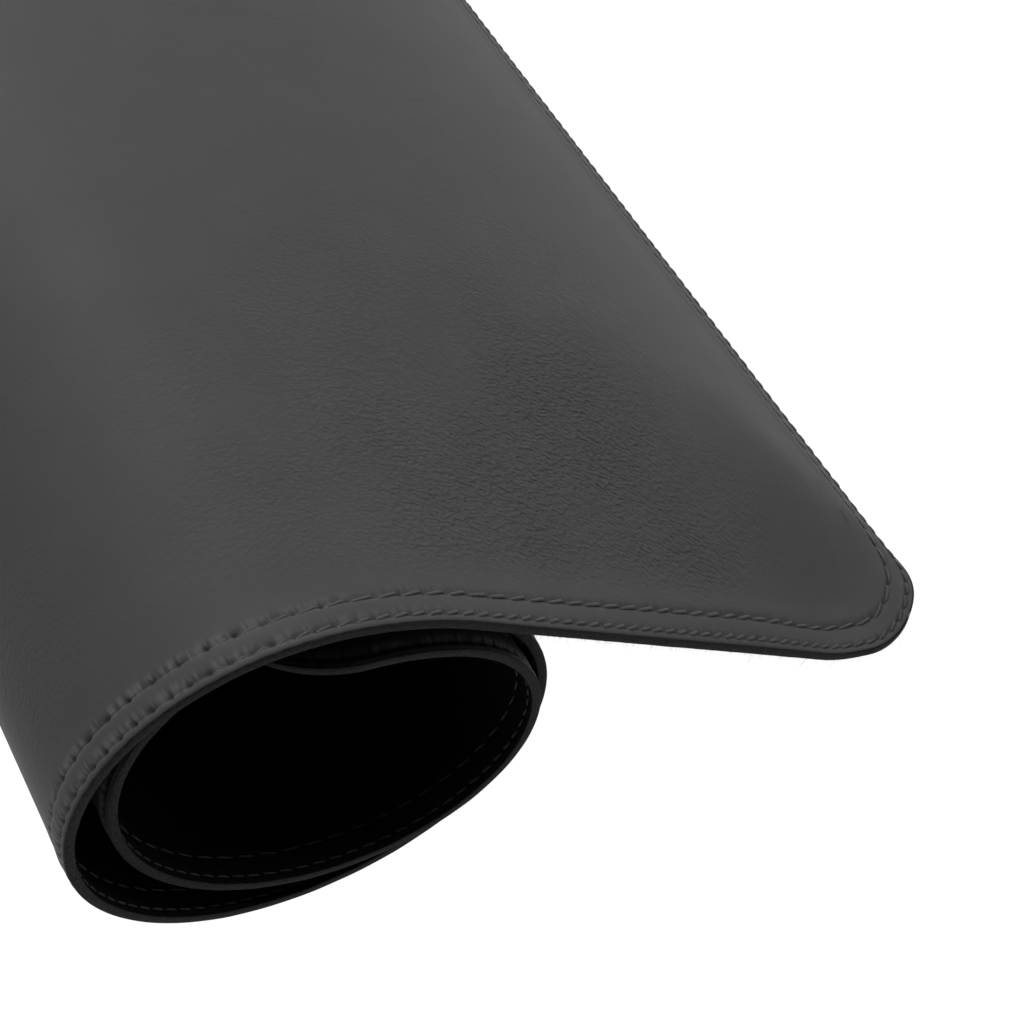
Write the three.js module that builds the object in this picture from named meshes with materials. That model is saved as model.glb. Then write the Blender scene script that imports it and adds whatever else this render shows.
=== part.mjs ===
// Desk pad, lying with one end rolled up: a leather face and a felt back glued to a thin interlining,
// the cut edge sealed with a coat, and two rows of lockstitch running right round the border.
// Lengths are in millimetres. +Y runs along the roll, +X points to the free end and +Z is up.
import * as THREE from "three";

// the pad laid flat
const PAD_LENGTH = 800;
const PAD_WIDTH = 400;
const CORNER_RADIUS = 23;

// the layers, from the felt side to the leather side
const FELT_THICKNESS = 0.7;
const INTERLINING_THICKNESS = 0.5;
const LEATHER_THICKNESS = 0.8;
const GLUE_LINE = 0.15;
const THICKNESS = FELT_THICKNESS + INTERLINING_THICKNESS + LEATHER_THICKNESS + 2 * GLUE_LINE;

// the coat on the cut edge
const COAT_THICKNESS = 0.35;
const COAT_ROUNDING = 0.2;
const COAT_CLEARANCE = 0.08;
const LAYER_INSET = COAT_THICKNESS + COAT_CLEARANCE;
const INTERLINING_INSET = LAYER_INSET + COAT_CLEARANCE;

// the stitch rows, measured in from the cut edge
const OUTER_ROW_INSET = 2.3;
const INNER_ROW_INSET = 7.35;
const NEEDLE_THREAD_WIDTH = 0.7;
const NEEDLE_THREAD_HEIGHT = 0.4;
const BOBBIN_THREAD_WIDTH = 0.6;
const BOBBIN_THREAD_HEIGHT = 0.3;
const THREAD_CLEARANCE = 0.08;
const THREAD_CROWN = 0.5;
const NEEDLE_SINK = NEEDLE_THREAD_HEIGHT + THREAD_CLEARANCE;
const BOBBIN_SINK = BOBBIN_THREAD_HEIGHT + THREAD_CLEARANCE;
const BORDER_MARGIN = 2.5;
const BORDER_WIDTH = INNER_ROW_INSET + BORDER_MARGIN;

// the rolled end: turns about a centre, oval along a tilted axis and faintly three-sided, that close up
// on the free end's side by a clearance and drift apart on the other
const ROLL_RADIUS = 54.7;
const OVAL = 4;
const OVAL_TILT = THREE.MathUtils.degToRad(147);
const THREE_SIDED = 0.82;
const THREE_SIDED_TILT = THREE.MathUtils.degToRad(-6);
const WRAP_CLEARANCE = 1.75;
const WRAP_DRIFT = 3.3;
const LEAVE_ANGLE = THREE.MathUtils.degToRad(45);

// the free end, along the long edges: down a straight ramp, round a hollow bend and level, just over the table
const TOE_RUN = 9.15;
const TOE_BEND_RADIUS = 45;
const TOE_HOVER = 3;

// the free end, between the long edges: it leaves the roll earlier, arches down and stands on its edge
const ARCH_TURN = THREE.MathUtils.degToRad(39);
const ARCH_REACH = 30;
const ARCH_SPREAD = 0.7;
const ARCH_LIFT_FROM = 30;
const ARCH_LIFT_TO = 70;

// the second turn stands a little back along the roll, and comes forward again toward the inner end
const RECESS = 7.9;
const RECESS_AT = 450;
const RECESS_RISE = 115;
const RECESS_FALL = 190;

// how finely the curves are followed
const STEP = 10;
const CORNER_STEPS = 8;
const BEND_STEPS = 24;
const TURN_STEP = THREE.MathUtils.degToRad(1);
const COLUMN_COUNT = 6;
const COLUMN_CROWDING = 1.8;

// centre line of the layers, seen along the roll
function profile() {
  const winding = [];
  let wound = 0;
  for (let turn = 0; wound < PAD_LENGTH; turn += TURN_STEP) {
    const angle = LEAVE_ANGLE + turn;
    const shrink = THICKNESS + WRAP_CLEARANCE + WRAP_DRIFT * (1 - Math.cos(angle));
    const oval = OVAL * Math.cos(2 * (angle - OVAL_TILT));
    const corners = THREE_SIDED * Math.cos(3 * (angle - THREE_SIDED_TILT));
    const radius = ROLL_RADIUS + oval + corners - shrink * turn / (2 * Math.PI);
    winding.push([radius * Math.cos(angle), radius * Math.sin(angle)]);
    wound += radius * TURN_STEP;
  }
  const [first, second] = winding;
  const reach = Math.hypot(first[0] - second[0], first[1] - second[1]);
  const slope = Math.asin((second[1] - first[1]) / reach);
  const table = Math.min(...winding.map((point) => point[1]));
  const toe = table + TOE_HOVER;
  const bendDrop = TOE_BEND_RADIUS * (1 - Math.cos(slope));
  const ramp = (first[1] - toe - bendDrop) / Math.sin(slope);
  const rampFoot = [first[0] + ramp * Math.cos(slope), toe + bendDrop];
  const bendFoot = rampFoot[0] + TOE_BEND_RADIUS * Math.sin(slope);
  const points = [[bendFoot + TOE_RUN, toe]];
  for (let i = 0; i < BEND_STEPS; i += 1) {
    const tilt = slope * i / BEND_STEPS;
    points.push([bendFoot - TOE_BEND_RADIUS * Math.sin(tilt), toe + TOE_BEND_RADIUS * (1 - Math.cos(tilt))]);
  }
  points.push(rampFoot, ...winding);
  return { points, table, join: BEND_STEPS + 2 + Math.round(ARCH_TURN / TURN_STEP) };
}

// distance along the centre line, with the direction that the leather faces
const { points: line, table, join } = profile();
const along = [0];
for (let i = 1; i < line.length; i += 1) {
  along.push(along[i - 1] + Math.hypot(line[i][0] - line[i - 1][0], line[i][1] - line[i - 1][1]));
}
const facing = line.map((point, i) => {
  const before = line[Math.max(i - 1, 0)];
  const after = line[Math.min(i + 1, line.length - 1)];
  const reach = Math.hypot(after[0] - before[0], after[1] - before[1]);
  return [(after[1] - before[1]) / reach, (before[0] - after[0]) / reach];
});

// the arch is one even curve, which turns just so far that its end comes down to the table
const archRun = along[join];
const archSlope = Math.atan2(facing[join][0], facing[join][1]);
let archBend = 0;
for (let low = 0.1, high = 2, i = 0; i < 40; i += 1) {
  archBend = (low + high) / 2;
  const drop = archRun / archBend * (Math.cos(archSlope) - Math.cos(archSlope + archBend));
  if (drop < line[join][1] - table) {
    low = archBend;
  } else {
    high = archBend;
  }
}

function arch(s) {
  const tilt = archSlope + archBend * (1 - s / archRun);
  const radius = archRun / archBend;
  const x = line[join][0] + radius * (Math.sin(tilt) - Math.sin(archSlope));
  const z = line[join][1] - radius * (Math.cos(archSlope) - Math.cos(tilt));
  return [x, z, Math.sin(tilt), Math.cos(tilt)];
}

// how far the arch is followed: not at all along the long edges, and fully well in from them
function archShare(s, y) {
  if (s >= archRun) {
    return 0;
  }
  const side = Math.min(y, PAD_WIDTH - y);
  const reach = Math.min(side / (ARCH_REACH + ARCH_SPREAD * s), 1);
  const lift = THREE.MathUtils.smoothstep(s, ARCH_LIFT_FROM, ARCH_LIFT_TO) * reach * (1 - reach) ** 2;
  return THREE.MathUtils.smoothstep(reach, 0, 1) + lift;
}

// where a point of the flat pad comes to lie: s from the free end, y across, height over the felt's face
function roll(s, y, height) {
  let i = 1;
  while (along[i] < s && i < along.length - 1) {
    i += 1;
  }
  const share = (s - along[i - 1]) / (along[i] - along[i - 1]);
  const mix = (from, to, part) => from.map((value, k) => value + (to[k] - value) * part);
  const edge = mix([...line[i - 1], ...facing[i - 1]], [...line[i], ...facing[i]], share);
  const [placeX, placeZ, outX, outZ] = mix(edge, arch(s), archShare(s, y));
  const out = (height - THICKNESS / 2) / Math.hypot(outX, outZ);
  const x = placeX + out * outX;
  const z = placeZ + out * outZ;
  const spread = s < RECESS_AT ? RECESS_RISE : RECESS_FALL;
  const back = RECESS * Math.exp(-0.5 * ((s - RECESS_AT) / spread) ** 2);
  return [x, y - PAD_WIDTH / 2 + back, z];
}

// the roll rests on one level panel, whose two ends are equally far down
const lowest = line.findIndex((point, i) => i >= join && point[1] === table);
let restAt = along[lowest];
for (let low = restAt - STEP, high = restAt + STEP, i = 0; i < 40; i += 1) {
  restAt = (low + high) / 2;
  const before = roll(restAt - STEP / 2, PAD_WIDTH / 2, THICKNESS)[2];
  const after = roll(restAt + STEP / 2, PAD_WIDTH / 2, THICKNESS)[2];
  if (before > after) {
    low = restAt;
  } else {
    high = restAt;
  }
}

// lines along the pad, on one half of it, that follow the arch across: closest together near the long edge
const columns = [];
for (let i = 1; i <= COLUMN_COUNT; i += 1) {
  columns.push(CORNER_RADIUS + (PAD_WIDTH / 2 - CORNER_RADIUS) * (i / (COLUMN_COUNT + 1)) ** COLUMN_CROWDING);
}

// the pad's outline moved in from the cut edge: one half, then its mirror image the other way round
function outline(inset) {
  const half = columns.map((y) => [inset, y]).reverse();
  const radius = CORNER_RADIUS - inset;
  for (let i = 0; i <= CORNER_STEPS; i += 1) {
    const angle = Math.PI / 2 * i / CORNER_STEPS;
    half.push([CORNER_RADIUS - radius * Math.cos(angle), CORNER_RADIUS - radius * Math.sin(angle)]);
  }
  const toRest = restAt - STEP / 2 - CORNER_RADIUS;
  const pastRest = PAD_LENGTH - CORNER_RADIUS - restAt - STEP / 2;
  const toSteps = Math.ceil(toRest / STEP);
  const pastSteps = Math.ceil(pastRest / STEP);
  for (let i = 1; i <= toSteps; i += 1) {
    half.push([CORNER_RADIUS + toRest * i / toSteps, inset]);
  }
  for (let i = 0; i < pastSteps; i += 1) {
    half.push([PAD_LENGTH - CORNER_RADIUS - pastRest * (1 - i / pastSteps), inset]);
  }
  for (let i = 0; i <= CORNER_STEPS; i += 1) {
    const angle = Math.PI / 2 * i / CORNER_STEPS;
    half.push([PAD_LENGTH - CORNER_RADIUS + radius * Math.sin(angle), CORNER_RADIUS - radius * Math.cos(angle)]);
  }
  const mirrored = half.map(([s, y]) => [s, PAD_WIDTH - y]).reverse();
  return half.concat(mirrored);
}

// triangles between two rows of [y, number] points across the pad
function bridge(row, next) {
  const triangles = [];
  let i = 0;
  let j = 0;
  while (i < row.length - 1 || j < next.length - 1) {
    const ahead = i < row.length - 1 ? row[i + 1][0] : Infinity;
    const aheadNext = j < next.length - 1 ? next[j + 1][0] : Infinity;
    if (ahead <= aheadNext) {
      triangles.push([row[i][1], row[i + 1][1], next[j][1]]);
      i += 1;
    } else {
      triangles.push([row[i][1], next[j + 1][1], next[j][1]]);
      j += 1;
    }
  }
  return triangles;
}

// closes a ring, whose points start at a number, by rows across the pad; the arch adds points to its rows
function close([inset, height], start, points) {
  const flat = outline(inset);
  const count = flat.length;
  const across = [...columns, ...columns.map((y) => PAD_WIDTH - y).reverse()];
  const rows = [];
  for (let i = COLUMN_COUNT; i < count / 2; i += 1) {
    const [s, y] = flat[i];
    const inner = i === COLUMN_COUNT ? across.map((place, k) => [place, start + (2 * count + i - 1 - k) % count]) : [];
    if (i > COLUMN_COUNT && s < archRun) {
      for (const place of across) {
        inner.push([place, points.length]);
        points.push(roll(s, place, height));
      }
    }
    rows.push([[y, start + i], ...inner, [PAD_WIDTH - y, start + count - 1 - i]]);
  }
  return rows.slice(1).flatMap((row, i) => bridge(rows[i], row));
}

// carries a section of [inset, height] points round the outline, and closes a sheet on both its faces; every
// band is split along the same diagonal, so that neighbouring layers stay parallel where the pad is twisted
function carry(section, isSheet) {
  const rings = section.map(([inset, height]) => outline(inset).map(([s, y]) => roll(s, y, height)));
  const count = rings[0].length;
  const points = rings.flat();
  const faces = [];
  const bands = isSheet ? rings.length - 1 : rings.length;
  for (let band = 0; band < bands; band += 1) {
    const after = (band + 1) % rings.length;
    const here = band * count;
    const next = after * count;
    const [inset, height] = section[band];
    const [nextInset, nextHeight] = section[after];
    const turned = nextInset > inset || (nextInset === inset && nextHeight < height);
    for (let i = 0; i < count; i += 1) {
      const j = (i + 1) % count;
      faces.push(here + i, here + j, turned ? next + i : next + j);
      faces.push(turned ? here + j : here + i, next + j, next + i);
    }
  }
  if (isSheet) {
    const last = rings.length - 1;
    faces.push(...close(section[0], 0, points).flat());
    faces.push(...close(section[last], last * count, points).flatMap((corners) => corners.reverse()));
  }
  const geometry = new THREE.BufferGeometry();
  geometry.setAttribute("position", new THREE.Float32BufferAttribute(points.flat(), 3));
  geometry.setIndex(faces);
  return geometry;
}

// a shallow channel for a thread, from the border's inner side out to the edge
function channel(row, width, surface, floor) {
  const lip = width / 2 + 2 * THREAD_CLEARANCE;
  const foot = width / 2 + THREAD_CLEARANCE;
  return [[row + lip, surface], [row + foot, floor], [row - foot, floor], [row - lip, surface]];
}

// a thread's section: widest where it lies in the channel, narrower at its crown
function thread(row, width, floor, crown) {
  const half = width / 2;
  const crownHalf = half * THREAD_CROWN;
  return [[row + half, floor], [row + crownHalf, crown], [row - crownHalf, crown], [row - half, floor]];
}

const interliningFloor = FELT_THICKNESS + GLUE_LINE;
const leatherFloor = interliningFloor + INTERLINING_THICKNESS + GLUE_LINE;
const needleFloor = THICKNESS - NEEDLE_SINK;
const rows = [INNER_ROW_INSET, OUTER_ROW_INSET];

const leather = [
  [BORDER_WIDTH, THICKNESS],
  ...rows.flatMap((row) => channel(row, NEEDLE_THREAD_WIDTH, THICKNESS, needleFloor - THREAD_CLEARANCE)),
  [LAYER_INSET, THICKNESS],
  [LAYER_INSET, leatherFloor],
  [INNER_ROW_INSET, leatherFloor],
  [BORDER_WIDTH, leatherFloor],
];

const interlining = [
  [BORDER_WIDTH, interliningFloor + INTERLINING_THICKNESS],
  [INNER_ROW_INSET, interliningFloor + INTERLINING_THICKNESS],
  [INTERLINING_INSET, interliningFloor + INTERLINING_THICKNESS],
  [INTERLINING_INSET, interliningFloor],
  [INNER_ROW_INSET, interliningFloor],
  [BORDER_WIDTH, interliningFloor],
];

const felt = [
  [BORDER_WIDTH, 0],
  ...rows.flatMap((row) => channel(row, BOBBIN_THREAD_WIDTH, 0, BOBBIN_SINK + THREAD_CLEARANCE)),
  [LAYER_INSET, 0],
  [LAYER_INSET, FELT_THICKNESS],
  [INNER_ROW_INSET, FELT_THICKNESS],
  [BORDER_WIDTH, FELT_THICKNESS],
];

const coat = [
  [COAT_THICKNESS, COAT_ROUNDING / 2],
  [COAT_THICKNESS, THICKNESS],
  [COAT_ROUNDING, THICKNESS],
  [0, THICKNESS - COAT_ROUNDING],
  [0, COAT_ROUNDING],
  [COAT_ROUNDING, COAT_ROUNDING / 2],
];

function needle(row) {
  return thread(row, NEEDLE_THREAD_WIDTH, needleFloor, needleFloor + NEEDLE_THREAD_HEIGHT);
}

function bobbin(row) {
  return thread(row, BOBBIN_THREAD_WIDTH, BOBBIN_SINK, BOBBIN_SINK - BOBBIN_THREAD_HEIGHT);
}

const pieces = [
  ["leather_face", leather, true, 0x4a4a4b, 0.55],
  ["interlining", interlining, true, 0x8d8a84, 0.9],
  ["felt_backing", felt, true, 0x141415, 0.95],
  ["edge_coat", coat, false, 0x353536, 0.5],
  ["outer_needle_thread", needle(OUTER_ROW_INSET), false, 0x3f3f40, 0.6],
  ["inner_needle_thread", needle(INNER_ROW_INSET), false, 0x3f3f40, 0.6],
  ["outer_bobbin_thread", bobbin(OUTER_ROW_INSET), false, 0x565658, 0.6],
  ["inner_bobbin_thread", bobbin(INNER_ROW_INSET), false, 0x565658, 0.6],
];

// volume enclosed by the faces, negative when they face inward
function enclosed(geometry) {
  const position = geometry.attributes.position;
  const index = geometry.index.array;
  const [a, b, c] = [new THREE.Vector3(), new THREE.Vector3(), new THREE.Vector3()];
  let sum = 0;
  for (let i = 0; i < index.length; i += 3) {
    a.fromBufferAttribute(position, index[i]);
    b.fromBufferAttribute(position, index[i + 1]);
    c.fromBufferAttribute(position, index[i + 2]);
    sum += a.dot(b.cross(c)) / 6;
  }
  return sum;
}

const pad = new THREE.Group();
pad.name = "desk_pad";
const box = new THREE.Box3();
for (const [name, section, isSheet, colour, roughness] of pieces) {
  const geometry = carry(section, isSheet);
  if (enclosed(geometry) < 0) {
    geometry.index.array.reverse();
  }
  const material = new THREE.MeshStandardMaterial({ color: colour, roughness, metalness: 0 });
  const mesh = new THREE.Mesh(geometry, material);
  mesh.name = name;
  geometry.computeBoundingBox();
  box.union(geometry.boundingBox);
  pad.add(mesh);
}

// the origin is under the middle of the pad, on the table
const middle = box.getCenter(new THREE.Vector3());
for (const mesh of pad.children) {
  mesh.geometry.translate(-middle.x, -middle.y, -box.min.z);
  mesh.geometry.computeVertexNormals();
}

export default pad;
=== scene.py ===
# %% [markdown]
# # A leather desk pad, lying with one end rolled up
# The pad is a laminate. A grained leather face and a felt back are glued to a thin interlining, the cut
# edge is painted, and two rows of lockstitch run right round the border. It is modelled here the way it
# is made: cut and sewn flat, and only then rolled up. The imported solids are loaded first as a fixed
# frame, so every new piece can be put exactly where the solid that it stands for is.

# %% Load the frame
import math
import bmesh
import bpy
import numpy as np
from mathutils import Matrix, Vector


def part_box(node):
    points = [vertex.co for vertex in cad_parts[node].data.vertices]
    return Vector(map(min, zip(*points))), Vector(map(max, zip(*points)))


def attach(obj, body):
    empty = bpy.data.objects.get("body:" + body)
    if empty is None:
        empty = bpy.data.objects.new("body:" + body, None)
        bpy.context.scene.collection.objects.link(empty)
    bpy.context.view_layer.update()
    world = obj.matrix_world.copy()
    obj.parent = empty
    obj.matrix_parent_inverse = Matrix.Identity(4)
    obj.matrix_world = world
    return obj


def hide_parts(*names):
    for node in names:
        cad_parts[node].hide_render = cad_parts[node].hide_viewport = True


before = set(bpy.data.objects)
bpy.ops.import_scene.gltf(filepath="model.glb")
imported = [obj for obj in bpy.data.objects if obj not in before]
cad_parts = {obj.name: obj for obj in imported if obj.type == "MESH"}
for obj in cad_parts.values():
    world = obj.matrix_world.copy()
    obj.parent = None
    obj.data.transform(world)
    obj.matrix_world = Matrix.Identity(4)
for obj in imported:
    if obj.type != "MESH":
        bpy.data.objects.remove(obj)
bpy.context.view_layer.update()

bpy.ops.object.select_all(action="DESELECT")
print("nodes in the frame:", ", ".join(sorted(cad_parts)))

# %% [markdown]
# ## The camera
# The photograph was taken from above the roll's open end with a fairly long lens. The place, the turn and
# the lens were worked out from the outline and the even pitch of the stitches. Setting the camera first
# means that every later piece can be judged against the photograph at once.

# %% Set the camera
CAMERA_PLACE = (-0.1294, -0.4197, 0.4421)
CAMERA_TURN = (37.23, -0.70, -27.55)
CAMERA_LENS = 78.1
NEAREST_SEEN = 0.01

bpy.ops.object.camera_add(location=CAMERA_PLACE, rotation=[math.radians(turn) for turn in CAMERA_TURN])
camera = bpy.context.object
camera.name = "camera"
camera.data.lens = CAMERA_LENS
camera.data.clip_start = NEAREST_SEEN
bpy.context.scene.camera = camera
print("camera set at", CAMERA_PLACE)

# %% [markdown]
# ## The pad laid flat
# These are the sizes that a maker would cut and sew to. They repeat the named sizes of the solids, so
# that both models stay one object. The insets are measured inwards from the cut edge.

# %% Sizes of the flat pad
MM = 0.001
PAD_LENGTH = 800 * MM
PAD_WIDTH = 400 * MM
CORNER_RADIUS = 23 * MM
FELT_THICKNESS = 0.7 * MM
INTERLINING_THICKNESS = 0.5 * MM
LEATHER_THICKNESS = 0.8 * MM
GLUE_LINE = 0.15 * MM
THICKNESS = FELT_THICKNESS + INTERLINING_THICKNESS + LEATHER_THICKNESS + 2 * GLUE_LINE
OUTER_ROW = 2.3 * MM
INNER_ROW = 7.35 * MM
print("the layers add up to", round(THICKNESS / MM, 2), "mm")

# %% [markdown]
# ## The line that the pad is wound along
# Seen along the roll, the long edge of the pad is level just over the table at its free end, bends up a
# straight ramp and then winds twice round a slightly oval core. A curve object with a Curve modifier
# could carry a flat sheet along such a line. One formula does the same here, because the layers, the
# threads and the fibres must all follow it at their own heights, and each stays exactly parallel to the
# others.

# %% Draw the winding line
ROLL_RADIUS = 54.7 * MM
OVAL = 4.0 * MM
OVAL_TILT = math.radians(147)
THREE_SIDED = 0.82 * MM
THREE_SIDED_TILT = math.radians(-6)
WRAP_CLEARANCE = 1.75 * MM
WRAP_DRIFT = 3.3 * MM
LEAVE_ANGLE = math.radians(45)
TOE_RUN = 9.15 * MM
TOE_BEND_RADIUS = 45 * MM
TOE_HOVER = 3 * MM
BEND_STEPS = 60
WIND_STEP = 0.1
WIND_END = 1000


def wound(turn):
    angle = LEAVE_ANGLE + turn
    shrink = THICKNESS + WRAP_CLEARANCE + WRAP_DRIFT * (1 - np.cos(angle))
    oval = OVAL * np.cos(2 * (angle - OVAL_TILT))
    oval += THREE_SIDED * np.cos(3 * (angle - THREE_SIDED_TILT))
    radius = ROLL_RADIUS + oval - shrink * turn / (2 * math.pi)
    return np.column_stack([radius * np.cos(angle), radius * np.sin(angle)])


winding = wound(np.radians(np.arange(0, WIND_END, WIND_STEP)))
first, second = wound(np.radians(np.array([0.0, 1.0])))
slope = math.asin((second[1] - first[1]) / math.dist(first, second))
table = winding[:, 1].min()
toe = table + TOE_HOVER
bend_drop = TOE_BEND_RADIUS * (1 - math.cos(slope))
ramp = (first[1] - toe - bend_drop) / math.sin(slope)
ramp_foot = np.array([first[0] + ramp * math.cos(slope), toe + bend_drop])
bend_foot = ramp_foot[0] + TOE_BEND_RADIUS * math.sin(slope)
tilt = np.linspace(0, slope, BEND_STEPS)
bend = np.column_stack([
    bend_foot - TOE_BEND_RADIUS * np.sin(tilt),
    toe + TOE_BEND_RADIUS * (1 - np.cos(tilt)),
])
line = np.vstack([[bend_foot + TOE_RUN, toe], bend, winding])
along = np.concatenate([[0], np.cumsum(np.hypot(*np.diff(line, axis=0).T))])
way = np.gradient(line, along, axis=0)
facing = np.column_stack([way[:, 1], -way[:, 0]]) / np.hypot(*way.T)[:, None]
print("the ramp is", round(ramp / MM, 1), "mm long at", round(math.degrees(slope), 1), "degrees")

# %% [markdown]
# ## The arch between the long edges
# Only the corners of the free end relax and lie level. Between them the pad leaves the roll earlier,
# arches down in one even curve and stands on its edge. How far the arch must turn to come down just to
# the table is found by halving an interval again and again.

# %% Draw the arch
ARCH_TURN = 39
ARCH_REACH = 30 * MM
ARCH_SPREAD = 0.7
ARCH_LIFT_FROM = 30 * MM
ARCH_LIFT_TO = 70 * MM
ARCH_BEND_RANGE = (0.1, 2.0)
HALVINGS = 40


def ease(value, low, high):
    share = np.clip((value - low) / (high - low), 0, 1)
    return share * share * (3 - 2 * share)


join = len(bend) + 1 + round(ARCH_TURN / WIND_STEP)
arch_run = along[join]
arch_slope = math.atan2(*facing[join])
low, high = ARCH_BEND_RANGE
for _ in range(HALVINGS):
    arch_bend = (low + high) / 2
    drop = arch_run / arch_bend * (math.cos(arch_slope) - math.cos(arch_slope + arch_bend))
    low, high = (arch_bend, high) if drop < line[join, 1] - table else (low, arch_bend)


def arched(s):
    tilt = arch_slope + arch_bend * (1 - s / arch_run)
    x = line[join, 0] + arch_run / arch_bend * (np.sin(tilt) - math.sin(arch_slope))
    z = line[join, 1] - arch_run / arch_bend * (math.cos(arch_slope) - np.cos(tilt))
    return np.column_stack([x, z]), np.column_stack([np.sin(tilt), np.cos(tilt)])


def arch_share(s, y):
    side = np.minimum(y, PAD_WIDTH - y)
    reach = np.clip(side / (ARCH_REACH + ARCH_SPREAD * s), 0, 1)
    lift = ease(s, ARCH_LIFT_FROM, ARCH_LIFT_TO) * reach * (1 - reach) ** 2
    return np.where(s < arch_run, ease(reach, 0, 1) + lift, 0)


print("the arch leaves the roll", round(arch_run / MM), "mm from the free end")
print("it lands at", round(math.degrees(arch_slope + arch_bend), 1), "degrees")

# %% [markdown]
# ## Rolling a flat point up
# A point of the flat pad has a distance from the free end, a distance across and a height over the
# felt's face. The second turn stands a little back along the roll, as the photograph shows at its open
# end, so a point is also pushed back by a smooth hump.

# %% Roll points of the flat pad
RECESS = 7.9 * MM
RECESS_AT = 450 * MM
RECESS_RISE = 115 * MM
RECESS_FALL = 190 * MM
COAT_RIM = 0.2 * MM

coat_low, coat_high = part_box("edge_coat")
rim_place, rim_facing = arched(np.array([0, COAT_RIM]))
rim = rim_place[:, 0] + rim_facing[:, 0] * (THICKNESS / 2 - np.array([COAT_RIM, 0]))
toe_shift = coat_high[0] - rim.max()
near_edge = coat_low[1]
table_shift = THICKNESS / 2 - table


def follow(values, s):
    return np.column_stack([np.interp(s, along, values[:, axis]) for axis in (0, 1)])


def roll(s, y, height):
    share = arch_share(s, y)[:, None]
    edge_place, edge_facing = follow(line, s), follow(facing, s)
    arch_place, arch_facing = arched(s)
    out = edge_facing + (arch_facing - edge_facing) * share
    out *= ((height - THICKNESS / 2) / np.hypot(*out.T))[:, None]
    x, z = (edge_place + (arch_place - edge_place) * share + out).T
    x, z = x + toe_shift, z + table_shift
    spread = np.where(s < RECESS_AT, RECESS_RISE, RECESS_FALL)
    back = RECESS * np.exp(-0.5 * ((s - RECESS_AT) / spread) ** 2)
    return np.column_stack([x, y + back + near_edge, z])


print("free corner rolls to", roll(np.zeros(1), np.zeros(1), np.zeros(1)).round(4))

# %% [markdown]
# ## Ways round the border
# The cut edge, the stitch rows and the paint all run round the same rounded rectangle, each at its own
# inset. A helper turns a distance along such a way into a flat place and a heading. It goes leg by leg:
# four straight sides with a quarter circle after each.

# %% Follow the border
LONG_SIDE = PAD_LENGTH - 2 * CORNER_RADIUS
SHORT_SIDE = PAD_WIDTH - 2 * CORNER_RADIUS
CORNERS = np.array([
    (PAD_LENGTH - CORNER_RADIUS, CORNER_RADIUS),
    (PAD_LENGTH - CORNER_RADIUS, PAD_WIDTH - CORNER_RADIUS),
    (CORNER_RADIUS, PAD_WIDTH - CORNER_RADIUS),
    (CORNER_RADIUS, CORNER_RADIUS),
])


def legs(inset):
    arc = (CORNER_RADIUS - inset) * math.pi / 2
    return np.array([LONG_SIDE, arc, SHORT_SIDE, arc] * 2)


def border_place(distance, inset):
    lengths = legs(inset)
    starts = np.concatenate([[0], np.cumsum(lengths)])
    distance = np.mod(distance, starts[-1])
    leg = np.clip(np.searchsorted(starts, distance, side="right") - 1, 0, 7)
    run = distance - starts[leg]
    turning = leg % 2 == 1
    heading = leg // 2 * math.pi / 2 + np.where(turning, run / (CORNER_RADIUS - inset), 0)
    remaining = np.where(turning, 0, lengths[leg] - run)
    corner = CORNERS[leg // 2]
    s = corner[:, 0] + (CORNER_RADIUS - inset) * np.sin(heading) - remaining * np.cos(heading)
    y = corner[:, 1] - (CORNER_RADIUS - inset) * np.cos(heading) - remaining * np.sin(heading)
    return s, y, heading


for name, row in (("outer", OUTER_ROW), ("inner", INNER_ROW)):
    print(name, "row is", round(legs(row).sum() / MM), "mm long")

# %% [markdown]
# ## From a flat place back to the border
# The reverse is needed too: how far a flat place is from the cut edge, and how far round the border it
# lies. With both, a dent in the leather comes to lie under its own stitch.

# %% Measure from the border
def corner_of(s, y):
    far_s, far_y = s > PAD_LENGTH - CORNER_RADIUS, y > PAD_WIDTH - CORNER_RADIUS
    inside = (far_s | (s < CORNER_RADIUS)) & (far_y | (y < CORNER_RADIUS))
    corner = np.where(far_s, np.where(far_y, 1, 0), np.where(far_y, 2, 3))
    return inside, corner, s - CORNERS[corner, 0], y - CORNERS[corner, 1]


def inset_of(s, y):
    inside, corner, ds, dy = corner_of(s, y)
    straight = np.min([s, y, PAD_LENGTH - s, PAD_WIDTH - y], axis=0)
    return np.where(inside, CORNER_RADIUS - np.hypot(ds, dy), straight)


def border_distance(s, y, inset):
    starts = np.concatenate([[0], np.cumsum(legs(inset))])
    side = np.argmin([y, PAD_LENGTH - s, PAD_WIDTH - y, s], axis=0)
    run = np.choose(side, [s, y, PAD_LENGTH - s, PAD_WIDTH - y]) - CORNER_RADIUS
    inside, corner, ds, dy = corner_of(s, y)
    heading = np.mod(np.arctan2(ds, -dy), 2 * math.pi)
    bent = starts[2 * corner + 1] + (heading - corner * math.pi / 2) * (CORNER_RADIUS - inset)
    return np.where(inside, bent, starts[2 * side] + run)


middle_s, middle_y = np.array([PAD_LENGTH / 2]), np.array([PAD_WIDTH / 2])
print("the middle of the pad is", round(inset_of(middle_s, middle_y)[0] / MM), "mm from the cut edge")

# %% [markdown]
# ## A flat sheet
# Each layer is cut to the same outline, so two helpers serve them all. One spreads points round the
# border at a chosen inset. The other splits a large face straight across, between points that face each
# other, because such lines stay straight when the pad is rolled.

# %% Outline and split a sheet
SNAP = MM / 100


def outline(inset, step):
    starts = np.concatenate([[0], np.cumsum(legs(inset))])
    pieces = []
    for a, b in zip(starts[:-1], starts[1:]):
        pieces.append(np.linspace(a, b, math.ceil((b - a) / step), endpoint=False))
    return border_place(np.concatenate(pieces), inset)


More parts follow.
